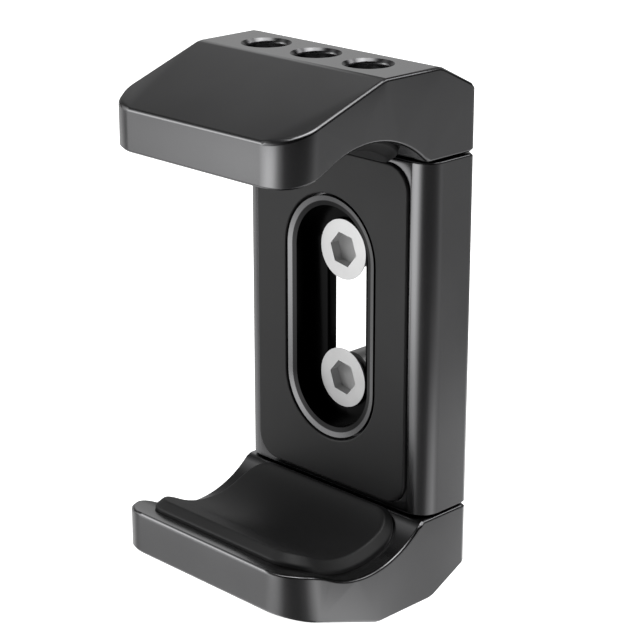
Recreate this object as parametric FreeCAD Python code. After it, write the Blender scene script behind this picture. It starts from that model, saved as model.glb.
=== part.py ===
import FreeCAD, Part
import math
import os

# Phone holder clip: a column with a jaw that slides out at each end
# Units are millimetres. X is the width, -Y is the side that faces the phone, +Z is up.
# The origin is at the middle of the footprint, on the surface that the closed clip stands on.
# Depths are measured forward from the flat rear face, heights outward from the middle plane.

# Overall
WIDTH = 40.3
DEPTH = 39.2
JAW_TRAVEL = 14.0

# Column
COLUMN_LENGTH = 57.4
COLUMN_DEPTH = 10.6
COLUMN_FRONT_RADIUS = 3.5
COLUMN_REAR_RADIUS = 1.2
COLUMN_END_CHAMFER = 0.4
SEAM_GAP = 0.2

# Obround slot through the column, with its raised rim and the ledge that the screws bear on
RIM_WIDTH = 19.0
RIM_BEVEL_WIDTH = 1.6
RIM_BEVEL_DEPTH = 0.4
RIM_STRAIGHT = 21.0
RIM_PROUD = 0.4
LEDGE_DEPTH = 7.35
SLOT_WIDTH = 8.0
SLOT_BEVEL = 0.45
SLOT_END_ROOM = 0.5
WEB_REAR_DEPTH = 5.45

# Rear channel that the rails slide in
CHANNEL_WALL = 4.75

# Back pad
PAD_SIDE_MARGIN = 3.75
PAD_END_MARGIN = 1.1
PAD_CORNER_RADIUS = 4.0
PAD_POCKET_DEPTH = 1.5
PAD_PROUD = 0.25
PAD_EDGE_CHAMFER = 0.25
PAD_CLEARANCE = 0.15

# Jaw block
JAW_HEIGHT = 14.1
REAR_BEVEL_DROP = 4.0
REAR_BEVEL_RUN = 8.0
CROWN_RUN = 12.0
NOSE_HEIGHT = 6.8
NOSE_CORNER_RADIUS = 6.0
JAW_EDGE_CHAMFER = 0.5
NOSE_SET_BACK = 0.5
ARCH_RISE = 5.0
ARCH_BLEND_SHARE = 0.63
ARCH_RUN_OUT = 0.6

# Rails of each jaw, pressed into sockets: one runs on the inner track and one on the outer track
RAIL_WIDTH = 2.45
RAIL_THICKNESS = 2.7
RAIL_CLEARANCE = 0.1
RAIL_ROOT = 5.0
RAIL_SEAT = 0.01
TOE_HEIGHT = 2.0
STOP_CLEARANCE = 0.15

# Jaw pad
JAW_PAD_THICKNESS = 2.0
JAW_PAD_EDGE_CHAMFER = 1.4
JAW_PAD_SIDE_INSET = 3.0
JAW_PAD_FRONT_INSET = 3.0
JAW_PAD_CORNER_RADIUS = 5.0
JAW_PAD_SEAT = 0.02
JAW_PAD_END_GAP = 0.25

# Threaded holes in the crown of the upper jaw
HOLE_RADIUS = 3.2
HOLE_DEPTH = 8.5
HOLE_MOUTH_RADIUS = 3.95
HOLE_PITCH = 10.9
HOLE_COUNT = 3

# Clamp screws and their nuts
SCREW_OFFSET = 10.75
SCREW_HEAD_RADIUS = 4.92
SCREW_HEAD_LAND = 0.12
SCREW_SHANK_RADIUS = 2.45
SCREW_TAIL_DEPTH = 0.7
SOCKET_ACROSS_FLATS = 5.0
SOCKET_DEPTH = 1.7
SOCKET_TURN = 10.0
SEAT_CLEARANCE = 0.05
THREAD_CLEARANCE = 0.05
NUT_HEIGHT = 8.0
NUT_REAR_DEPTH = 0.35
NUT_NOSE_RADIUS = 3.6
NUT_SIDE_CLEARANCE = 0.2

# Places that follow from the sizes above
HEIGHT = COLUMN_LENGTH + 2 * (SEAM_GAP + JAW_HEIGHT)
MIDDLE = HEIGHT / 2
SEAM = COLUMN_LENGTH / 2 + SEAM_GAP
REAR = DEPTH / 2
RIM_FRONT_DEPTH = COLUMN_DEPTH + RIM_PROUD
PAD_WIDTH = WIDTH - 2 * PAD_SIDE_MARGIN
PAD_LENGTH = COLUMN_LENGTH - 2 * PAD_END_MARGIN
CHANNEL_WIDTH = WIDTH - 2 * CHANNEL_WALL
ARCH_BLEND_RADIUS = ARCH_BLEND_SHARE * (DEPTH - COLUMN_DEPTH)
INNER_SLOT_WIDTH = RIM_WIDTH - 2 * RIM_BEVEL_WIDTH
SLOT_STRAIGHT = 2 * (SCREW_OFFSET + SLOT_END_ROOM)
OUTER_RAIL_X = (CHANNEL_WIDTH - RAIL_WIDTH) / 2 - RAIL_CLEARANCE
INNER_RAIL_X = OUTER_RAIL_X - RAIL_WIDTH - RAIL_CLEARANCE
RAIL_FRONT_DEPTH = WEB_REAR_DEPTH - RAIL_CLEARANCE
RAIL_REAR_DEPTH = RAIL_FRONT_DEPTH - RAIL_THICKNESS
TOE_REAR_DEPTH = NUT_REAR_DEPTH
TOE_TOP = SCREW_OFFSET - JAW_TRAVEL - STOP_CLEARANCE
NUT_FRONT_DEPTH = RAIL_REAR_DEPTH - RAIL_CLEARANCE
HEAD_OVERHANG = SCREW_HEAD_RADIUS - SLOT_WIDTH / 2
HEAD_FACE_DEPTH = LEDGE_DEPTH - SLOT_BEVEL + HEAD_OVERHANG + SCREW_HEAD_LAND + SEAT_CLEARANCE


def half_chord():
    """Half the arch's width at the seam: both arcs, end to end, span from column to nose."""
    span = DEPTH - COLUMN_DEPTH + ARCH_RUN_OUT
    drop = ARCH_RISE - NOSE_SET_BACK
    a = 1 - drop / ARCH_RISE
    c = span ** 2 - drop * ARCH_RISE - 2 * drop * ARCH_BLEND_RADIUS + drop ** 2
    return c / (span + math.sqrt(span ** 2 - a * c))


ARCH_HALF_CHORD = half_chord()
ARCH_RADIUS = (ARCH_HALF_CHORD ** 2 + ARCH_RISE ** 2) / (2 * ARCH_RISE)
ARCH_CENTRE_HEIGHT = SEAM + ARCH_RISE - ARCH_RADIUS
ARCH_CENTRE_DEPTH = COLUMN_DEPTH + ARCH_HALF_CHORD


def point(x, depth, height):
    """A place given by its x, its depth from the rear face and its height from the middle."""
    return FreeCAD.Vector(x, REAR - depth, MIDDLE + height)


def block(x_range, depth_range, height_range):
    """A plain box between two values along each direction."""
    corner = point(min(x_range), max(depth_range), min(height_range))
    size_x = max(x_range) - min(x_range)
    size_y = max(depth_range) - min(depth_range)
    size_z = max(height_range) - min(height_range)
    return Part.makeBox(size_x, size_y, size_z, corner)


def obround(width, straight, depth):
    """The closed wire of an upright obround on a plane at the given depth."""
    r = width / 2
    h = straight / 2
    right = Part.LineSegment(point(r, depth, -h), point(r, depth, h))
    top = Part.Arc(point(r, depth, h), point(0, depth, h + r), point(-r, depth, h))
    left = Part.LineSegment(point(-r, depth, h), point(-r, depth, -h))
    bottom = Part.Arc(point(-r, depth, -h), point(0, depth, -h - r), point(r, depth, -h))
    return Part.Wire([edge.toShape() for edge in (right, top, left, bottom)])


def obround_prism(width, straight, rear_depth, front_depth):
    """An obround extruded forward from the rear depth to the front depth."""
    face = Part.Face(obround(width, straight, rear_depth))
    return face.extrude(FreeCAD.Vector(0, rear_depth - front_depth, 0))


def rounded_outline(corners):
    """A closed wire through corners given as (vector, radius), each rounded by an arc."""
    edges = []
    arcs = []
    count = len(corners)
    for i in range(count):
        place, radius = corners[i]
        back = corners[i - 1][0].sub(place).normalize()
        ahead = corners[(i + 1) % count][0].sub(place).normalize()
        half = back.getAngle(ahead) / 2
        reach = radius / math.tan(half)
        start = place.add(FreeCAD.Vector(back).multiply(reach))
        end = place.add(FreeCAD.Vector(ahead).multiply(reach))
        inward = FreeCAD.Vector(back.add(ahead)).normalize()
        middle = place.add(inward.multiply(radius / math.sin(half) - radius))
        arcs.append((start, middle, end))
    for i in range(count):
        start, middle, end = arcs[i]
        edges.append(Part.Arc(start, middle, end).toShape())
        edges.append(Part.LineSegment(end, arcs[(i + 1) % count][0]).toShape())
    return Part.Wire(edges)


def plan_prism(half_width, depths, radii, heights):
    """A rounded plan outline between two depths, extruded between two heights."""
    rear, front = depths
    rear_radius, front_radius = radii
    low, high = heights
    corners = [
        (point(half_width, rear, low), rear_radius),
        (point(half_width, front, low), front_radius),
        (point(-half_width, front, low), front_radius),
        (point(-half_width, rear, low), rear_radius),
    ]
    face = Part.Face(rounded_outline(corners))
    return face.extrude(FreeCAD.Vector(0, 0, high - low))


def front_prism(width, length, radius, depths):
    """A rounded upright rectangle extruded forward between two depths."""
    rear, front = depths
    w = width / 2
    h = length / 2
    corners = [(point(x, rear, z), radius) for x, z in ((w, h), (-w, h), (-w, -h), (w, -h))]
    face = Part.Face(rounded_outline(corners))
    return face.extrude(FreeCAD.Vector(0, rear - front, 0))


def mirrored(shape):
    """The same shape turned half a turn about the Y axis through the middle."""
    copy = shape.copy()
    copy.rotate(FreeCAD.Vector(0, 0, MIDDLE), FreeCAD.Vector(0, 1, 0), 180)
    return copy


# Column
def column_body():
    """The extruded bar with chamfered ends, before any cuts."""
    half = COLUMN_LENGTH / 2
    radii = (COLUMN_REAR_RADIUS, COLUMN_FRONT_RADIUS)
    bar = plan_prism(WIDTH / 2, (0, COLUMN_DEPTH), radii, (-half, half))
    ends = [e for e in bar.Edges if abs(abs(e.CenterOfMass.z - MIDDLE) - half) < 1e-6]
    return bar.makeChamfer(COLUMN_END_CHAMFER, ends)


def slot_cutter():
    """The rim's bevel, the wide recess, the bevelled narrow slot: all that is cut away."""
    rim = obround(RIM_WIDTH, RIM_STRAIGHT, RIM_FRONT_DEPTH)
    inner = obround(INNER_SLOT_WIDTH, RIM_STRAIGHT, RIM_FRONT_DEPTH - RIM_BEVEL_DEPTH)
    bevel = Part.makeLoft([rim, inner], True, True)
    recess_front = RIM_FRONT_DEPTH - RIM_BEVEL_DEPTH
    recess = obround_prism(INNER_SLOT_WIDTH, RIM_STRAIGHT, LEDGE_DEPTH, recess_front)
    wide = obround(SLOT_WIDTH + 2 * SLOT_BEVEL, SLOT_STRAIGHT, LEDGE_DEPTH)
    narrow = obround(SLOT_WIDTH, SLOT_STRAIGHT, LEDGE_DEPTH - SLOT_BEVEL)
    slot_bevel = Part.makeLoft([wide, narrow], True, True)
    slot = obround_prism(SLOT_WIDTH, SLOT_STRAIGHT, 0, LEDGE_DEPTH - SLOT_BEVEL)
    return bevel.fuse([recess, slot_bevel, slot])


def column():
    half = COLUMN_LENGTH / 2
    pocket_floor = COLUMN_DEPTH - PAD_POCKET_DEPTH
    width = PAD_WIDTH + 2 * PAD_CLEARANCE
    length = PAD_LENGTH + 2 * PAD_CLEARANCE
    radius = PAD_CORNER_RADIUS + PAD_CLEARANCE
    pocket = front_prism(width, length, radius, (pocket_floor, COLUMN_DEPTH))
    rim = obround_prism(RIM_WIDTH, RIM_STRAIGHT, pocket_floor, RIM_FRONT_DEPTH)
    channel_half = CHANNEL_WIDTH / 2
    channel = block((-channel_half, channel_half), (0, WEB_REAR_DEPTH), (-half, half))
    return column_body().cut(pocket).fuse(rim).cut(slot_cutter()).cut(channel)


def back_pad():
    """The soft pad in the column's pocket, with a hole that fits round the rim."""
    floor = COLUMN_DEPTH - PAD_POCKET_DEPTH
    front = COLUMN_DEPTH + PAD_PROUD
    pad = front_prism(PAD_WIDTH, PAD_LENGTH, PAD_CORNER_RADIUS, (floor, front))
    front_y = REAR - front
    edges = [e for e in pad.Edges if abs(e.CenterOfMass.y - front_y) < 1e-6]
    pad = pad.makeChamfer(PAD_EDGE_CHAMFER, edges)
    hole = obround_prism(RIM_WIDTH + 2 * PAD_CLEARANCE, RIM_STRAIGHT, floor, front)
    return pad.cut(hole)


# Arch that both the jaw block and its pad follow
def arch_places(offset):
    """The arch, moved in by an offset: its start, both centres and where the two arcs meet."""
    centre = (ARCH_CENTRE_DEPTH, ARCH_CENTRE_HEIGHT)
    nose_level = SEAM + NOSE_SET_BACK
    blend_height = nose_level + ARCH_BLEND_RADIUS
    span = ARCH_RADIUS + ARCH_BLEND_RADIUS
    rise = blend_height - ARCH_CENTRE_HEIGHT
    blend = (ARCH_CENTRE_DEPTH + math.sqrt(span ** 2 - rise ** 2), blend_height)
    radius = ARCH_RADIUS - offset
    share = radius / span
    meet_depth = centre[0] + share * (blend[0] - centre[0])
    meet_height = centre[1] + share * (blend[1] - centre[1])
    return centre, radius, blend, ARCH_BLEND_RADIUS + offset, (meet_depth, meet_height)


def on_circle(centre, radius, depth, sign):
    """The place on a circle at a given depth, above or below its centre."""
    return (depth, centre[1] + sign * math.sqrt(radius ** 2 - (depth - centre[0]) ** 2))


def arch_edges(offset, start_depth, end_depth):
    """The two tangent arcs of the arch between two depths, and their end places."""
    centre, radius, blend, blend_radius, meet = arch_places(offset)
    start = on_circle(centre, radius, start_depth, 1)
    crown = (centre[0], centre[1] + radius)
    end = on_circle(blend, blend_radius, end_depth, -1)
    bend = on_circle(blend, blend_radius, (meet[0] + end_depth) / 2, -1)
    first = Part.Arc(point(0, *start), point(0, *crown), point(0, *meet)).toShape()
    second = Part.Arc(point(0, *meet), point(0, *bend), point(0, *end)).toShape()
    return [first, second], start, end


def across(wire, half_width):
    """A profile in the middle plane extruded over the full width."""
    face = Part.Face(wire)
    face.translate(FreeCAD.Vector(-half_width, 0, 0))
    return face.extrude(FreeCAD.Vector(2 * half_width, 0, 0))


def polyline(places):
    """Straight edges through places given as (depth, height)."""
    ends = zip(places[:-1], places[1:])
    return [Part.LineSegment(point(0, *a), point(0, *b)).toShape() for a, b in ends]


# Jaws
def jaw_profile():
    """The closed side profile of a jaw block."""
    top = SEAM + JAW_HEIGHT
    arcs, start, end = arch_edges(0, COLUMN_DEPTH, DEPTH)
    places = [
        end,
        (DEPTH, top - NOSE_HEIGHT),
        (REAR_BEVEL_RUN + CROWN_RUN, top),
        (REAR_BEVEL_RUN, top),
        (0, top - REAR_BEVEL_DROP),
        (0, SEAM),
        start,
    ]
    return Part.Wire(arcs + polyline(places))


def jaw_block():
    """The jaw block with its corners rounded and its edges chamfered."""
    top = SEAM + JAW_HEIGHT
    bar = across(jaw_profile(), WIDTH / 2)
    radii = (COLUMN_REAR_RADIUS, NOSE_CORNER_RADIUS)
    plan = plan_prism(WIDTH / 2, (0, DEPTH), radii, (SEAM - 1, top + 1))
    jaw = bar.common(plan)
    return jaw.makeChamfer(JAW_EDGE_CHAMFER, edges_to_chamfer(jaw))


def edges_to_chamfer(jaw):
    """Every sharp edge of the block but the two upright corners, which are round already."""
    chosen = []
    for edge in jaw.Edges:
        box = edge.BoundBox
        upright = box.XLength < 1e-6 and box.YLength < 1e-6
        inside_arch = box.XLength > WIDTH / 2 and abs(box.ZLength) < 1e-6 and is_smooth(edge, jaw)
        if not upright and not inside_arch:
            chosen.append(edge)
    return chosen


def is_smooth(edge, shape):
    """Whether the two faces at an edge meet without a corner."""
    middle = edge.valueAt((edge.FirstParameter + edge.LastParameter) / 2)
    normals = []
    for face in shape.ancestorsOfType(edge, Part.Face):
        u, v = face.Surface.parameter(middle)
        normals.append(face.normalAt(u, v))
    return normals[0].getAngle(normals[1]) < math.radians(1)


def rail(x, growth=0.0):
    """One rail of the upper jaw, with a toe at its end that stops at the nut."""
    half = RAIL_WIDTH / 2 + growth
    sides = (x - half, x + half)
    front = RAIL_FRONT_DEPTH + growth
    end = TOE_TOP - TOE_HEIGHT
    bar = block(sides, (RAIL_REAR_DEPTH - growth, front), (end, SEAM + RAIL_ROOT + growth))
    toe = block(sides, (TOE_REAR_DEPTH - growth, front), (end, TOE_TOP))
    return bar.fuse(toe).removeSplitter()


def threaded_holes():
    """Three blind holes with chamfered mouths, in a row across the crown."""
    top = SEAM + JAW_HEIGHT
    depth = REAR_BEVEL_RUN + CROWN_RUN / 2
    chamfer = HOLE_MOUTH_RADIUS - HOLE_RADIUS
    down = FreeCAD.Vector(0, 0, -1)
    shapes = []
    for i in range(HOLE_COUNT):
        mouth = point((i - (HOLE_COUNT - 1) / 2) * HOLE_PITCH, depth, top)
        shapes.append(Part.makeCylinder(HOLE_RADIUS, HOLE_DEPTH, mouth, down))
        shapes.append(Part.makeCone(HOLE_MOUTH_RADIUS, HOLE_RADIUS, chamfer, mouth, down))
    return shapes


def plain_jaw():
    """The jaw block with the two sockets that its rails are pressed into."""
    return jaw_block().cut([rail(INNER_RAIL_X, RAIL_SEAT), rail(-OUTER_RAIL_X, RAIL_SEAT)])


def upper_jaw():
    return plain_jaw().cut(threaded_holes())


def lower_jaw():
    return mirrored(plain_jaw())


def jaw_pad():
    """The soft lining of a jaw: it follows the arch and the nose, with a wide chamfer all round."""
    rear = COLUMN_DEPTH + PAD_PROUD + JAW_PAD_END_GAP
    front = DEPTH - JAW_PAD_FRONT_INSET
    outer, outer_start, outer_end = arch_edges(JAW_PAD_SEAT, rear, front)
    inner, inner_start, inner_end = arch_edges(JAW_PAD_THICKNESS, rear, front)
    ends = polyline([outer_end, inner_end]) + polyline([inner_start, outer_start])
    half_width = WIDTH / 2 - JAW_PAD_SIDE_INSET
    bar = across(Part.Wire(Part.__sortEdges__(outer + inner + ends)), half_width)
    radii = (JAW_PAD_CORNER_RADIUS, JAW_PAD_CORNER_RADIUS)
    plan = plan_prism(half_width, (rear, front), radii, (0, SEAM + JAW_HEIGHT))
    pad = bar.common(plan)
    return pad.makeChamfer(JAW_PAD_EDGE_CHAMFER, inner_border(pad))


def inner_border(pad):
    """The edges round the pad's inner side, which is the one nearer to the middle plane."""
    chosen = []
    for edge in pad.Edges:
        middle = edge.valueAt((edge.FirstParameter + edge.LastParameter) / 2)
        depth = REAR - middle.y
        halfway = arch_height((JAW_PAD_SEAT + JAW_PAD_THICKNESS) / 2, depth)
        upright = edge.BoundBox.XLength < 1e-6 and edge.BoundBox.YLength < 1e-6
        if middle.z - MIDDLE < halfway and not upright and not is_smooth(edge, pad):
            chosen.append(edge)
    return chosen


def arch_height(offset, depth):
    """The height of the arch, moved in by an offset, at a depth."""
    centre, radius, blend, blend_radius, meet = arch_places(offset)
    if depth <= meet[0]:
        return on_circle(centre, radius, depth, 1)[1]
    return on_circle(blend, blend_radius, depth, -1)[1]


# Clamp screws and nuts
def forward_cylinder(radius, depths, height):
    """A cylinder along the depth direction, between two depths."""
    rear, front = depths
    toward = FreeCAD.Vector(0, -1, 0)
    return Part.makeCylinder(radius, front - rear, point(0, rear, height), toward)


def clamp_screw():
    """A flat head screw with a hexagon socket, turned about its axis."""
    cone_depth = HEAD_FACE_DEPTH - SCREW_HEAD_LAND
    neck_depth = cone_depth - (SCREW_HEAD_RADIUS - SCREW_SHANK_RADIUS)
    tip = SCREW_TAIL_DEPTH
    z = SCREW_OFFSET
    tip_radius = SCREW_SHANK_RADIUS - SCREW_HEAD_LAND * 3
    places = [
        (0, HEAD_FACE_DEPTH),
        (SCREW_HEAD_RADIUS, HEAD_FACE_DEPTH),
        (SCREW_HEAD_RADIUS, cone_depth),
        (SCREW_SHANK_RADIUS, neck_depth),
        (SCREW_SHANK_RADIUS, tip + SCREW_HEAD_LAND * 3),
        (tip_radius, tip),
        (0, tip),
    ]
    outline = Part.makePolygon([point(r, d, z) for r, d in places + places[:1]])
    turned = Part.Face(outline).revolve(point(0, 0, z), FreeCAD.Vector(0, 1, 0), 360)
    return turned.cut(hex_socket(z))


def hex_socket(height):
    """The hexagonal recess in a screw head."""
    corner_radius = SOCKET_ACROSS_FLATS / math.sqrt(3)
    floor = HEAD_FACE_DEPTH - SOCKET_DEPTH
    corners = []
    for i in range(7):
        angle = math.radians(60 * i - SOCKET_TURN)
        x = corner_radius * math.cos(angle)
        corners.append(point(x, floor, height + corner_radius * math.sin(angle)))
    face = Part.Face(Part.makePolygon(corners))
    return face.extrude(FreeCAD.Vector(0, -SOCKET_DEPTH, 0))


def clamp_nut():
    """The bar that draws all four rails against the web, with a hub that takes the screw."""
    half_width = CHANNEL_WIDTH / 2 - NUT_SIDE_CLEARANCE
    z = SCREW_OFFSET
    bar = block((-half_width, half_width), (NUT_REAR_DEPTH, NUT_FRONT_DEPTH), (z, z + NUT_HEIGHT))
    nose = forward_cylinder(NUT_NOSE_RADIUS, (NUT_REAR_DEPTH, RAIL_FRONT_DEPTH), z)
    hole_radius = SCREW_SHANK_RADIUS + THREAD_CLEARANCE
    hole = forward_cylinder(hole_radius, (0, COLUMN_DEPTH), z)
    return bar.fuse(nose).cut(hole)


def write(name, shape):
    if not shape.isValid() or len(shape.Solids) != 1:
        raise RuntimeError(f"{name}: valid {shape.isValid()}, solids {len(shape.Solids)}")
    shape.Solids[0].exportStep(f"parts/{name}.step")
    print(f"{name}: {shape.Volume:.1f} mm3, {len(shape.Faces)} faces")


def main():
    os.makedirs("parts", exist_ok=True)
    write("column", column())
    write("back_pad", back_pad())
    write("upper_jaw", upper_jaw())
    write("lower_jaw", lower_jaw())
    write("upper_inner_rail", rail(INNER_RAIL_X))
    write("upper_outer_rail", rail(-OUTER_RAIL_X))
    write("lower_inner_rail", mirrored(rail(INNER_RAIL_X)))
    write("lower_outer_rail", mirrored(rail(-OUTER_RAIL_X)))
    write("upper_jaw_pad", jaw_pad())
    write("lower_jaw_pad", mirrored(jaw_pad()))
    write("upper_clamp_screw", clamp_screw())
    write("lower_clamp_screw", mirrored(clamp_screw()))
    write("upper_clamp_nut", clamp_nut())
    write("lower_clamp_nut", mirrored(clamp_nut()))


main()
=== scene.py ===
import math

import bmesh
import bpy
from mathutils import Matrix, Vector


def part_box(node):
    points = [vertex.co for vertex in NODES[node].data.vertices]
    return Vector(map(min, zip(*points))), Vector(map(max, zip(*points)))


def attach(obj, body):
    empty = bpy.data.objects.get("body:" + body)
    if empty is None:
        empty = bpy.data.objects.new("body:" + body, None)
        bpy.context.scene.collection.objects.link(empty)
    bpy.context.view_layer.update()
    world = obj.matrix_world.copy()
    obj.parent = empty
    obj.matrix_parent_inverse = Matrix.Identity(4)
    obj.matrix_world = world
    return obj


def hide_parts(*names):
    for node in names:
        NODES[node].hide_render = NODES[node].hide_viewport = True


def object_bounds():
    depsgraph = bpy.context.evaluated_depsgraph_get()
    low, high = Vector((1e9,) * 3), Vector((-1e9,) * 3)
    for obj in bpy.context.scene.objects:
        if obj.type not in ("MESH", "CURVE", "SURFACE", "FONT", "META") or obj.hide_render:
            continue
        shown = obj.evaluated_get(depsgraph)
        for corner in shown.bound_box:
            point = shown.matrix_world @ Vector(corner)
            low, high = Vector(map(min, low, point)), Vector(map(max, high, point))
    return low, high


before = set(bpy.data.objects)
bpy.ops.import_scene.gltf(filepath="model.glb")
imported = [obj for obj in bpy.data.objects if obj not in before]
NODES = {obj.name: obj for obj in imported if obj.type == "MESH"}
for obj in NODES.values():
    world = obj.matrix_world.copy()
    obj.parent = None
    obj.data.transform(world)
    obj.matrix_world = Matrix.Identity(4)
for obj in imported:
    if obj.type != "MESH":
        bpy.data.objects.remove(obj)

CAD_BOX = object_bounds()
MM = 0.001
QUARTER_TURN = math.pi / 2
WHITE = (1, 1, 1, 1)
LOW, HIGH = CAD_BOX
REAR_Y = HIGH[1]
MIDDLE = (LOW[2] + HIGH[2]) / 2
SCREW_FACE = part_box("upper_clamp_screw")[0].y

# Camera at the photograph's angle
CAMERA_AZIMUTH = 45.2
CAMERA_ELEVATION = 19.02
CAMERA_DISTANCE = 320.1 * MM
CAMERA_TARGET = Vector((1.85, 4.6, 44.16)) * MM
CAMERA_LENS = 115.3
CAMERA_SENSOR = 36

# The levels of the sky and of the floor's reflection started as a fit to the photograph's
# brightness, made by a scratch script. They were then rounded, thinned out and set by hand.

# Light: soft round patches of the sky, as (azimuth, elevation, half angle, level). An azimuth
# is in degrees from the front towards +X.
SKY_LOBES = (
    (-150, 12, 30, 0.40), (-120, 12, 30, 0.27), (-60, 12, 30, 1.05), (-30, 12, 30, 0.86),
    (0, 12, 30, 0.10), (-140, 40, 30, 0.12), (-100, 40, 30, 0.10), (-20, 40, 30, 0.07),
    (140, 40, 30, 0.32), (-131, 26, 12, 0.60), (-47, 22, 17, 2.60), (-62, 40, 16, 0.60),
    (0, 90, 24, 4.20), (112, 64, 19, 4.20), (-112, 72, 14, 0.70), (154, 42, 15, 2.60),
)

# What glossy surfaces see in the floor: its level at every 15 degrees of azimuth from -90 on,
# near the object and far from it. A colour ramp holds at most 1, so it gets the levels divided
# by FLOOR_TOP, and its result is multiplied again.
FLOOR_NEAR = (
    0.86, 0.95, 0.40, 0.74, 0.74, 0.74, 1.05, 0.95, 0.22, 0.13, 0.13, 0.22,
    0.85, 1.35, 0.78, 0.54, 1.70, 2.40, 1.40, 0.25, 0.18, 0.17, 0.16, 0.75,
)
FLOOR_FAR = (
    0.86, 0.77, 0.22, 1.52, 2.10, 2.95, 2.70, 0.75, 0.15, 0.12, 0.11, 0.11,
    0.13, 0.26, 0.54, 0.36, 0.45, 0.50, 0.30, 0.13, 0.13, 0.13, 0.15, 0.77,
)
FLOOR_TOP = 4.0
NEAR_FADE = (100 * MM, 200 * MM)

# Floor: it lies below the open lower jaw. Its own grey shows the object's shadow, and the
# camera also sees FLOOR_WHITE on top of it.
FLOOR_DROP = 14.5 * MM
FLOOR_RADIUS = 1.5
FLOOR_SEGMENTS = 96
FLOOR_GREY = 0.8
FLOOR_ROUGHNESS = 0.9
FLOOR_WHITE = 0.88

# Smooth shading: what stays sharp is steeper than the angle, or on the crown's or foot's plane
SHARP_ANGLE = math.radians(60)
CROWN_REACH = HIGH[2] - MIDDLE - 0.01 * MM
MERGE_DISTANCE = 0.001 * MM

# Finishes: the span of noise values that moves a colour or roughness from low to high, and the
# detail of the noise for colours (cloud) and for bumps (grain)
NOISE_SPAN = (0.3, 0.7)
CLOUD_DETAIL = 2
GRAIN_DETAIL = 3

# Painted shade on the bevel inside the rim and on the recess behind it: the distances from the
# slot's middle line between which it starts, and its share of the metal's colour
BEVEL_REACH = (8.62 * MM, 8.74 * MM)
PAINTED_BEVEL_SHADE = 0.14
WALL_REACH = (7.86 * MM, 7.96 * MM)
PAINTED_WALL_SHADE = 0.25

# Painted light in the screws' sockets, a dull grey brighter than their shade: where it ends
# round the screw's axis and where it starts behind the screw's face
SCREW_OFFSET = 10.75 * MM
SOCKET_REACH = (2.96 * MM, 3.00 * MM)
SOCKET_LIP = (0.04 * MM, 0.12 * MM)
PAINTED_SOCKET_GREY = 0.62

# Threads in the three holes of the crown. The ridge's section is given as (share of the depth,
# share of the pitch), its foot is sunk into the wall a little, and the thread starts a share of
# the pitch below the chamfer.
THREAD_PITCH = 1.27 * MM
THREAD_DEPTH = 0.55 * MM
THREAD_SINK = 0.05 * MM
THREAD_STEPS = 48
THREAD_START = 0.5
THREAD_RIDGE = ((0, 0.48), (1, 0.06), (1, -0.06), (0, -0.48))
HOLE_RADIUS = 3.2 * MM
HOLE_PITCH = 10.9 * MM
HOLE_CHAMFER = 0.75 * MM
HOLE_DEPTH = 8.5 * MM
HOLE_Y = 5.6 * MM

# Arch of the jaws, as (depth from the rear face, height from the middle plane)
ARCH_RADIUS = 16.98 * MM
ARCH_CENTRE = (22.63 * MM, 16.92 * MM)
BLEND_RADIUS = 18.02 * MM
BLEND_CENTRE = (39.8 * MM, 47.42 * MM)

# Jaw pads: section of the border as (millimetres in from the outline, millimetres off the metal)
PAD_CORNER_RADIUS = 5.0 * MM
PAD_CORNER_STEPS = 12
PAD_SIDE_STEPS = 26
PAD_BORDER = (
    (0.00, 0.03), (0.00, 0.42), (0.03, 0.54), (0.12, 0.68), (0.28, 0.86), (1.16, 1.74),
    (1.32, 1.88), (1.46, 1.95), (1.66, 1.99), (2.10, 2.00),
)

# Back pad: section of its edge as (millimetres in from the outline, millimetres behind the
# front), how much further it stands out than its solid, the obround rim of the slot that its
# hole goes round, and the gap between the two
BACK_PAD_RADIUS = 4.0 * MM
BACK_PAD_EDGE = ((0.00, 1.75), (0.00, 0.32), (0.05, 0.16), (0.15, 0.05), (0.32, 0.00))
BACK_PAD_LIFT = 0.30 * MM
RIM_RADIUS = 9.5 * MM
RIM_HALF_STRAIGHT = 10.5 * MM
RIM_GAP = 0.40 * MM

# Sockets of a mix node by number, because those for values and for colours share their names
MIX_SHARE = 0
MIX_VALUES = (2, 3)
MIX_VALUE_OUT = 0
MIX_COLOURS = (6, 7)
MIX_COLOUR_OUT = 2


# Building blocks of node trees
def add(tree, kind, **values):
    """A new node with its named inputs or properties set."""
    node = tree.nodes.new(kind)
    for key, value in values.items():
        if key in node.inputs:
            node.inputs[key].default_value = value
        else:
            setattr(node, key, value)
    return node


def math_step(tree, operation, *terms):
    """One operation on terms that are sockets or plain numbers."""
    node = add(tree, "ShaderNodeMath", operation=operation)
    for socket, term in zip(node.inputs, terms):
        if isinstance(term, (int, float)):
            socket.default_value = term
        else:
            tree.links.new(term, socket)
    return node.outputs[0]


def fade(tree, source, span, low, high, kind="LINEAR"):
    """A value that goes from low to high while the source crosses a span."""
    node = add(tree, "ShaderNodeMapRange", interpolation_type=kind)
    node.inputs["From Min"].default_value = span[0]
    node.inputs["From Max"].default_value = span[1]
    node.inputs["To Min"].default_value = low
    node.inputs["To Max"].default_value = high
    tree.links.new(source, node.inputs["Value"])
    return node.outputs["Result"]


def vector_length(tree, vector):
    """The length of a vector."""
    node = add(tree, "ShaderNodeVectorMath", operation="LENGTH")
    tree.links.new(vector, node.inputs[0])
    return node.outputs["Value"]


def object_place(tree):
    """The shaded place in the object's own coordinates."""
    return add(tree, "ShaderNodeTexCoord").outputs["Object"]


def split(tree, vector):
    """The X, Y and Z of a vector, as sockets with those names."""
    node = add(tree, "ShaderNodeSeparateXYZ")
    tree.links.new(vector, node.inputs[0])
    return node.outputs


def from_middle(tree, height):
    """How far a height is from the middle plane, above or below it."""
    return math_step(tree, "ABSOLUTE", math_step(tree, "SUBTRACT", height, MIDDLE))


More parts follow.
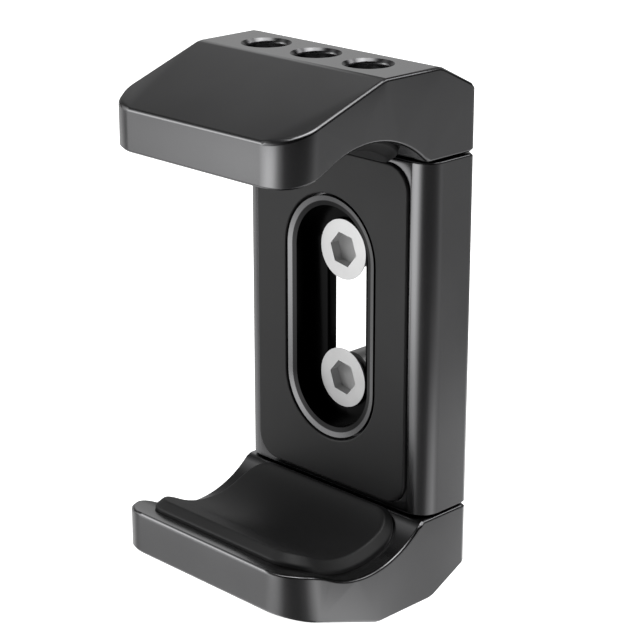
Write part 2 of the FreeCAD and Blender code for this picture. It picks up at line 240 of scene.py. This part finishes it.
def mix_shaders(tree, share, first, second):
    """The first shader where the share is 0, and the second where it is 1."""
    node = add(tree, "ShaderNodeMixShader")
    tree.links.new(share, node.inputs[0])
    tree.links.new(first.outputs[0], node.inputs[1])
    tree.links.new(second.outputs[0], node.inputs[2])
    return node


def seen_directly(tree, ray):
    """1 for rays of the camera and for those that go on through clear things, else 0."""
    from_camera = ray.outputs["Is Camera Ray"]
    through = ray.outputs["Is Transmission Ray"]
    return math_step(tree, "MAXIMUM", from_camera, through)


# Materials
def new_material(name):
    """A new material with its node tree and its shader."""
    material = bpy.data.materials.new(name)
    material.use_nodes = True
    tree = material.node_tree
    return material, tree, tree.nodes["Principled BSDF"]


def noise(tree, scale, detail):
    """Noise in the object's own coordinates, with grains of about one over the scale."""
    node = add(tree, "ShaderNodeTexNoise", Scale=scale, Detail=detail)
    tree.links.new(object_place(tree), node.inputs["Vector"])
    return node.outputs["Fac"]


def new_finish(name, metallic, cloud_scale, colours, roughness, grain_scale, grain_depth):
    """A material whose colour and roughness wander a little, with a fine grain."""
    material, tree, shader = new_material(name)
    cloud = noise(tree, cloud_scale, CLOUD_DETAIL)
    colour = add(tree, "ShaderNodeMix", data_type="RGBA")
    tree.links.new(fade(tree, cloud, NOISE_SPAN, 0, 1), colour.inputs[MIX_SHARE])
    for index, value in zip(MIX_COLOURS, colours):
        colour.inputs[index].default_value = (*value, 1)
    tree.links.new(colour.outputs[MIX_COLOUR_OUT], shader.inputs["Base Color"])
    tree.links.new(fade(tree, cloud, NOISE_SPAN, *roughness), shader.inputs["Roughness"])
    shader.inputs["Metallic"].default_value = metallic
    bump = add(tree, "ShaderNodeBump", Strength=1, Distance=grain_depth)
    tree.links.new(noise(tree, grain_scale, GRAIN_DETAIL), bump.inputs["Height"])
    tree.links.new(bump.outputs["Normal"], shader.inputs["Normal"])
    return material


def axis_distance(tree, half_straight, to_ends=False):
    """The distance from a stretch of the slot's middle line, or from its nearer end."""
    axes = split(tree, object_place(tree))
    beyond = math_step(tree, "SUBTRACT", from_middle(tree, axes["Z"]), half_straight)
    if not to_ends:
        beyond = math_step(tree, "MAXIMUM", beyond, 0)
    flat = add(tree, "ShaderNodeCombineXYZ")
    tree.links.new(axes["X"], flat.inputs["X"])
    tree.links.new(beyond, flat.inputs["Z"])
    return vector_length(tree, flat.outputs[0])


def paint_recess_shade(material):
    """The bevel inside the rim and the recess behind it get painted shade: a darker colour."""
    tree = material.node_tree
    base = tree.nodes["Principled BSDF"].inputs["Base Color"]
    away = axis_distance(tree, RIM_HALF_STRAIGHT)
    bevel = fade(tree, away, BEVEL_REACH, PAINTED_BEVEL_SHADE, 1)
    wall = fade(tree, away, WALL_REACH, PAINTED_WALL_SHADE, 1)
    dark = add(tree, "ShaderNodeVectorMath", operation="SCALE")
    tree.links.new(base.links[0].from_socket, dark.inputs[0])
    tree.links.new(math_step(tree, "MULTIPLY", bevel, wall), dark.inputs["Scale"])
    tree.links.new(dark.outputs[0], base)


def paint_socket_light(material):
    """The inside of a screw's hexagon socket gets painted light: a dull grey, brighter than its
    shaded metal would be.
    """
    tree = material.node_tree
    shader = tree.nodes["Principled BSDF"]
    inside = fade(tree, axis_distance(tree, SCREW_OFFSET, to_ends=True), SOCKET_REACH, 1, 0)
    depth = math_step(tree, "SUBTRACT", split(tree, object_place(tree))["Y"], SCREW_FACE)
    mask = math_step(tree, "MULTIPLY", inside, fade(tree, depth, SOCKET_LIP, 0, 1))
    # The dull grey shader is the painted light in the socket
    dull = add(tree, "ShaderNodeBsdfDiffuse")
    dull.inputs["Color"].default_value = (PAINTED_SOCKET_GREY, PAINTED_SOCKET_GREY, PAINTED_SOCKET_GREY, 1)
    both = mix_shaders(tree, mask, shader, dull)
    tree.links.new(both.outputs[0], tree.nodes["Material Output"].inputs["Surface"])


# Dark anodised aluminium with a bead-blasted grain
METAL = new_finish(
    "anodised_metal", metallic=1, cloud_scale=60,
    colours=((0.152, 0.152, 0.155), (0.168, 0.168, 0.171)), roughness=(0.23, 0.26),
    grain_scale=9000, grain_depth=0.002 * MM,
)
# Painted shade darkens the slot's recess and the bevel inside its rim
paint_recess_shade(METAL)

# Black silicone rubber with a moulded grain
SILICONE = new_finish(
    "silicone", metallic=0, cloud_scale=90,
    colours=((0.009, 0.009, 0.0095), (0.012, 0.012, 0.0125)), roughness=(0.50, 0.56),
    grain_scale=7000, grain_depth=0.004 * MM,
)

# Plated steel with a faint grain: bright for the screws, dull for the nuts and rails
NICKEL = new_finish(
    "bright_nickel", metallic=1, cloud_scale=250,
    colours=((0.58, 0.58, 0.58), (0.64, 0.64, 0.64)), roughness=(0.28, 0.34),
    grain_scale=12000, grain_depth=0.001 * MM,
)
# Painted light: a dull grey inside the screws' sockets
paint_socket_light(NICKEL)
ZINC = new_finish(
    "dull_zinc", metallic=1, cloud_scale=250,
    colours=((0.27, 0.27, 0.27), (0.31, 0.31, 0.31)), roughness=(0.42, 0.48),
    grain_scale=12000, grain_depth=0.001 * MM,
)


# Shading of every piece
def shading_group():
    """Joins the faces and shades them smooth, but for right angles and the crown's edges."""
    group = bpy.data.node_groups.new("smooth_shading", "GeometryNodeTree")
    group.interface.new_socket("Geometry", in_out="INPUT", socket_type="NodeSocketGeometry")
    group.interface.new_socket("Geometry", in_out="OUTPUT", socket_type="NodeSocketGeometry")
    link = group.links.new
    start = add(group, "NodeGroupInput")
    merge = add(group, "GeometryNodeMergeByDistance", Distance=MERGE_DISTANCE)
    faces = add(group, "GeometryNodeSetShadeSmooth")
    edges = add(group, "GeometryNodeSetShadeSmooth", domain="EDGE")
    edges.inputs["Shade Smooth"].default_value = False
    end = add(group, "NodeGroupOutput")
    link(start.outputs[0], merge.inputs["Geometry"])
    link(merge.outputs["Geometry"], faces.inputs["Geometry"])
    link(faces.outputs["Geometry"], edges.inputs["Geometry"])
    link(edges.outputs["Geometry"], end.inputs[0])

    angle = add(group, "GeometryNodeInputMeshEdgeAngle")
    steep = add(group, "FunctionNodeCompare", operation="GREATER_THAN", B=SHARP_ANGLE)
    link(angle.outputs["Unsigned Angle"], steep.inputs["A"])
    place = add(group, "GeometryNodeInputPosition")
    height = split(group, place.outputs["Position"])["Z"]
    on_crown = add(group, "FunctionNodeCompare", operation="GREATER_THAN", B=CROWN_REACH)
    link(from_middle(group, height), on_crown.inputs["A"])
    sharp = add(group, "FunctionNodeBooleanMath", operation="OR")
    link(steep.outputs["Result"], sharp.inputs[0])
    link(on_crown.outputs["Result"], sharp.inputs[1])
    link(sharp.outputs[0], edges.inputs["Selection"])
    return group


SHADING = shading_group()


def shade(piece):
    """Smooth shading that lets the large faces stay flat."""
    smooth = piece.modifiers.new("smooth_shading", "NODES")
    smooth.node_group = SHADING
    weighted = piece.modifiers.new("weighted_normals", "WEIGHTED_NORMAL")
    weighted.keep_sharp = True


# Pieces that are the CAD nodes themselves
def dress(node, material):
    """A carried-over CAD node gets its material and its shading."""
    piece = NODES[node]
    for place in piece.material_slots:
        place.material = material
    shade(piece)


for name in ("column", "upper_jaw", "lower_jaw"):
    dress(name, METAL)
for name in ("upper_clamp_screw", "lower_clamp_screw"):
    dress(name, NICKEL)
for name in ("upper_clamp_nut", "lower_clamp_nut"):
    dress(name, ZINC)
for jaw in ("upper", "lower"):
    for track in ("inner", "outer"):
        dress(f"{jaw}_{track}_rail", ZINC)


# Pieces that are built here: the rubber pads and the threads
def mesh_piece(name, shape, material, body):
    """A finished bmesh becomes a piece that rides on a body."""
    bmesh.ops.recalc_face_normals(shape, faces=shape.faces)
    mesh = bpy.data.meshes.new(name)
    shape.to_mesh(mesh)
    shape.free()
    mesh.materials.append(material)
    piece = bpy.data.objects.new(name, mesh)
    bpy.context.scene.collection.objects.link(piece)
    shade(piece)
    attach(piece, body)
    return piece


def place_at(x, depth, height):
    """A point from its x, its depth from the rear and its height above the middle."""
    return Vector((x, REAR_Y - depth, MIDDLE + height))


def turned(point):
    """The same point turned half a turn about the Y axis through the middle."""
    return Vector((-point.x, point.y, 2 * MIDDLE - point.z))


def bridge(shape, first, second):
    """Faces between two closed rings with the same number of points."""
    count = len(first)
    for i in range(count):
        j = (i + 1) % count
        shape.faces.new((first[i], first[j], second[j], second[i]))


def lay_across(shape, ring):
    """Strips of faces from the right half of a ring to its left half."""
    count = len(ring)
    for i in range(count // 2 - 1):
        shape.faces.new((ring[i], ring[i + 1], ring[count - 2 - i], ring[count - 1 - i]))


def arch_height(depth, offset):
    """The height of the arch at a depth, moved towards the middle by an offset."""
    reach = ARCH_RADIUS - offset
    share = reach / (ARCH_RADIUS + BLEND_RADIUS)
    meet = ARCH_CENTRE[0] + share * (BLEND_CENTRE[0] - ARCH_CENTRE[0])
    if depth <= meet:
        return ARCH_CENTRE[1] + math.sqrt(reach ** 2 - (depth - ARCH_CENTRE[0]) ** 2)
    reach = BLEND_RADIUS + offset
    return BLEND_CENTRE[1] - math.sqrt(reach ** 2 - (depth - BLEND_CENTRE[0]) ** 2)


def half_outline(half_width, rear, front, radius):
    """The right half of a rounded plan outline as (x, depth) points, from front to rear."""
    points = []
    for i in range(PAD_CORNER_STEPS + 1):
        angle = QUARTER_TURN * i / PAD_CORNER_STEPS
        x = half_width - radius + radius * math.sin(angle)
        points.append((x, front - radius + radius * math.cos(angle)))
    for i in range(1, PAD_SIDE_STEPS):
        share = i / PAD_SIDE_STEPS
        points.append((half_width, (front - radius) * (1 - share) + (rear + radius) * share))
    for i in range(PAD_CORNER_STEPS + 1):
        angle = QUARTER_TURN * i / PAD_CORNER_STEPS
        x = half_width - radius + radius * math.cos(angle)
        points.append((x, rear + radius - radius * math.sin(angle)))
    return points


def jaw_pad(jaw):
    """A jaw's soft lining: it follows the arch and has a rounded, sloped border."""
    low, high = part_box(f"{jaw}_jaw_pad")
    half_width = high.x
    rear = REAR_Y - high.y
    front = REAR_Y - low.y
    shape = bmesh.new()

    def add_ring(inset, height):
        size = (half_width - inset, rear + inset, front - inset, PAD_CORNER_RADIUS - inset)
        right = half_outline(*size)
        outline = right + [(-x, depth) for x, depth in reversed(right)]
        points = [place_at(x, depth, arch_height(depth, height)) for x, depth in outline]
        if jaw == "lower":
            points = [turned(point) for point in points]
        return [shape.verts.new(point) for point in points]

    rings = [add_ring(inset * MM, height * MM) for inset, height in PAD_BORDER]
    for outer, inner in zip(rings[:-1], rings[1:]):
        bridge(shape, outer, inner)
    lay_across(shape, rings[0])
    lay_across(shape, rings[-1])
    piece = mesh_piece(f"{jaw}_pad_rubber", shape, SILICONE, f"{jaw}_jaw")
    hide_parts(f"{jaw}_jaw_pad")


def upright_outline(half_width, half_length, radius):
    """A rounded upright rectangle as (x, height) points, all the way round."""
    points = []
    for corner, (side, end) in enumerate(((1, 1), (-1, 1), (-1, -1), (1, -1))):
        for i in range(PAD_CORNER_STEPS + 1):
            angle = QUARTER_TURN * (corner + i / PAD_CORNER_STEPS)
            x = side * (half_width - radius) + radius * math.cos(angle)
            points.append((x, end * (half_length - radius) + radius * math.sin(angle)))
    return points


def back_pad():
    """The pad on the column, with an obround hole for the rim and rounded edges."""
    low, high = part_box("back_pad")
    front = REAR_Y - low.y + BACK_PAD_LIFT
    front_y = REAR_Y - front
    half_width = high.x
    half_length = (high.z - low.z) / 2
    shape = bmesh.new()

    def outer_outline(inset):
        return upright_outline(half_width - inset, half_length - inset, BACK_PAD_RADIUS - inset)

    def hole_outline(inset):
        radius = RIM_RADIUS + RIM_GAP + inset
        return upright_outline(radius, RIM_HALF_STRAIGHT + radius, radius)

    def is_in_front(edge):
        return abs(edge.verts[0].co.y - front_y) < MERGE_DISTANCE

    for outline in (outer_outline, hole_outline):
        rings = []
        for inset, behind in BACK_PAD_EDGE:
            points = [place_at(x, front - behind * MM, z) for x, z in outline(inset * MM)]
            rings.append([shape.verts.new(point) for point in points])
        for first, second in zip(rings[:-1], rings[1:]):
            bridge(shape, first, second)
    bmesh.ops.remove_doubles(shape, verts=shape.verts, dist=MERGE_DISTANCE)
    open_edges = [edge for edge in shape.edges if edge.is_boundary]
    for in_front in (True, False):
        rims = [edge for edge in open_edges if is_in_front(edge) == in_front]
        bmesh.ops.triangle_fill(shape, edges=rims, use_beauty=True)
    piece = mesh_piece("back_pad_rubber", shape, SILICONE, "column")
    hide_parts("back_pad")


def hole_thread(name, x):
    """The thread of one hole: a sharp ridge that winds down its wall."""
    top = HIGH[2] - HOLE_CHAMFER
    turns = (HOLE_DEPTH - HOLE_CHAMFER) / THREAD_PITCH - 1
    steps = round(turns * THREAD_STEPS)
    shape = bmesh.new()
    rows = []
    for i in range(steps + 1):
        angle = 2 * math.pi * i / THREAD_STEPS
        z = top - THREAD_PITCH * (THREAD_START + i / THREAD_STEPS)
        # The ridge grows in its first turn and shrinks in its last
        growth = min(1, i / THREAD_STEPS, (steps - i) / THREAD_STEPS)
        row = []
        for inward, lift in THREAD_RIDGE:
            radius = HOLE_RADIUS + THREAD_SINK - inward * growth * (THREAD_DEPTH + THREAD_SINK)
            across = x + radius * math.cos(angle)
            along = HOLE_Y + radius * math.sin(angle)
            row.append(shape.verts.new((across, along, z + lift * THREAD_PITCH)))
        rows.append(row)
    for first, second in zip(rows[:-1], rows[1:]):
        for k in range(len(THREAD_RIDGE) - 1):
            shape.faces.new((first[k], first[k + 1], second[k + 1], second[k]))
    mesh_piece(name, shape, METAL, "upper_jaw")


for jaw in ("upper", "lower"):
    jaw_pad(jaw)
back_pad()
hole_thread("left_hole_thread", -HOLE_PITCH)
hole_thread("middle_hole_thread", 0)
hole_thread("right_hole_thread", HOLE_PITCH)


# Floor, light and camera
def direction(azimuth, elevation):
    """The unit vector towards an azimuth from the front and an elevation, in degrees."""
    turn = math.radians(azimuth)
    rise = math.radians(elevation)
    across = math.sin(turn) * math.cos(rise)
    along = -math.cos(turn) * math.cos(rise)
    return Vector((across, along, math.sin(rise)))


def side_levels(tree, turn, levels):
    """A level that changes with the side of the floor, in even steps all the way round."""
    ramp = add(tree, "ShaderNodeValToRGB")
    stops = ramp.color_ramp.elements
    count = len(levels)
    # The last stop repeats the first level. A new stop's position is set in the next loop.
    while len(stops) < count + 1:
        stops.new(0.5)
    for i in range(count + 1):
        level = levels[i % count] / FLOOR_TOP
        stops[i].position = i / count
        stops[i].color = (level, level, level, 1)
    tree.links.new(turn, ramp.inputs[0])
    return ramp.outputs["Color"]


def floor_glow(tree):
    """What glossy surfaces see in the floor: its level differs by side and by distance."""
    place = object_place(tree)
    turn = add(tree, "ShaderNodeTexGradient", gradient_type="RADIAL")
    tree.links.new(place, turn.inputs["Vector"])
    far = fade(tree, vector_length(tree, place), NEAR_FADE, 0, 1, "SMOOTHSTEP")
    level = add(tree, "ShaderNodeMix", data_type="FLOAT")
    tree.links.new(far, level.inputs[MIX_SHARE])
    for index, levels in zip(MIX_VALUES, (FLOOR_NEAR, FLOOR_FAR)):
        tree.links.new(side_levels(tree, turn.outputs["Fac"], levels), level.inputs[index])
    return math_step(tree, "MULTIPLY", level.outputs[MIX_VALUE_OUT], FLOOR_TOP)


def floor_material():
    """A white floor that keeps the object's shadow."""
    material, tree, shader = new_material("white_floor")
    material.cycles.emission_sampling = "NONE"
    shader.inputs["Base Color"].default_value = (FLOOR_GREY, FLOOR_GREY, FLOOR_GREY, 1)
    shader.inputs["Roughness"].default_value = FLOOR_ROUGHNESS
    shader.inputs["Specular IOR Level"].default_value = 0
    ray = add(tree, "ShaderNodeLightPath")
    white = add(tree, "ShaderNodeEmission")
    strength = math_step(tree, "MULTIPLY", seen_directly(tree, ray), FLOOR_WHITE)
    tree.links.new(strength, white.inputs["Strength"])
    plain = add(tree, "ShaderNodeAddShader")
    tree.links.new(shader.outputs[0], plain.inputs[0])
    tree.links.new(white.outputs[0], plain.inputs[1])
    mirrored = add(tree, "ShaderNodeEmission")
    tree.links.new(floor_glow(tree), mirrored.inputs["Strength"])
    pick = mix_shaders(tree, ray.outputs["Is Glossy Ray"], plain, mirrored)
    tree.links.new(pick.outputs[0], tree.nodes["Material Output"].inputs["Surface"])
    return material


def add_floor():
    """The round white floor under the object."""
    mesh = bpy.data.meshes.new("floor")
    shape = bmesh.new()
    bmesh.ops.create_circle(shape, cap_ends=True, segments=FLOOR_SEGMENTS, radius=FLOOR_RADIUS)
    bmesh.ops.translate(shape, verts=shape.verts, vec=(0, 0, -FLOOR_DROP))
    shape.to_mesh(mesh)
    shape.free()
    mesh.materials.append(floor_material())
    floor = bpy.data.objects.new("floor", mesh)
    bpy.context.scene.collection.objects.link(floor)


def lobe(tree, place, toward, half_angle, level):
    """A soft round patch of light: full level at its middle, none beyond the half angle."""
    dot = add(tree, "ShaderNodeVectorMath", operation="DOT_PRODUCT")
    dot.inputs[1].default_value = toward
    tree.links.new(place, dot.inputs[0])
    span = (math.cos(math.radians(half_angle)), 1)
    return fade(tree, dot.outputs["Value"], span, 0, level, "SMOOTHSTEP")


def add_world():
    """The sum of the soft patches lights the object, and the camera sees white."""
    world = bpy.data.worlds.new("studio")
    bpy.context.scene.world = world
    world.use_nodes = True
    tree = world.node_tree
    place = add(tree, "ShaderNodeTexCoord").outputs["Generated"]
    light = 0
    for azimuth, elevation, half_angle, level in SKY_LOBES:
        patch = lobe(tree, place, direction(azimuth, elevation), half_angle, level)
        light = math_step(tree, "ADD", light, patch)
    studio = tree.nodes["Background"]
    studio.inputs["Color"].default_value = WHITE
    tree.links.new(light, studio.inputs["Strength"])
    backdrop = add(tree, "ShaderNodeBackground", Color=WHITE, Strength=1)
    direct = seen_directly(tree, add(tree, "ShaderNodeLightPath"))
    pick = mix_shaders(tree, direct, studio, backdrop)
    tree.links.new(pick.outputs[0], tree.nodes["World Output"].inputs["Surface"])


def add_camera():
    """The camera that sees the object as the photograph does."""
    data = bpy.data.cameras.new("camera")
    data.lens = CAMERA_LENS
    data.sensor_width = CAMERA_SENSOR
    camera = bpy.data.objects.new("camera", data)
    bpy.context.scene.collection.objects.link(camera)
    back = direction(CAMERA_AZIMUTH, CAMERA_ELEVATION)
    camera.location = CAMERA_TARGET + back * CAMERA_DISTANCE
    camera.rotation_euler = (-back).to_track_quat("-Z", "Y").to_euler()
    bpy.context.scene.camera = camera


add_floor()
add_world()
add_camera()
bpy.context.scene.view_settings.view_transform = "Standard"
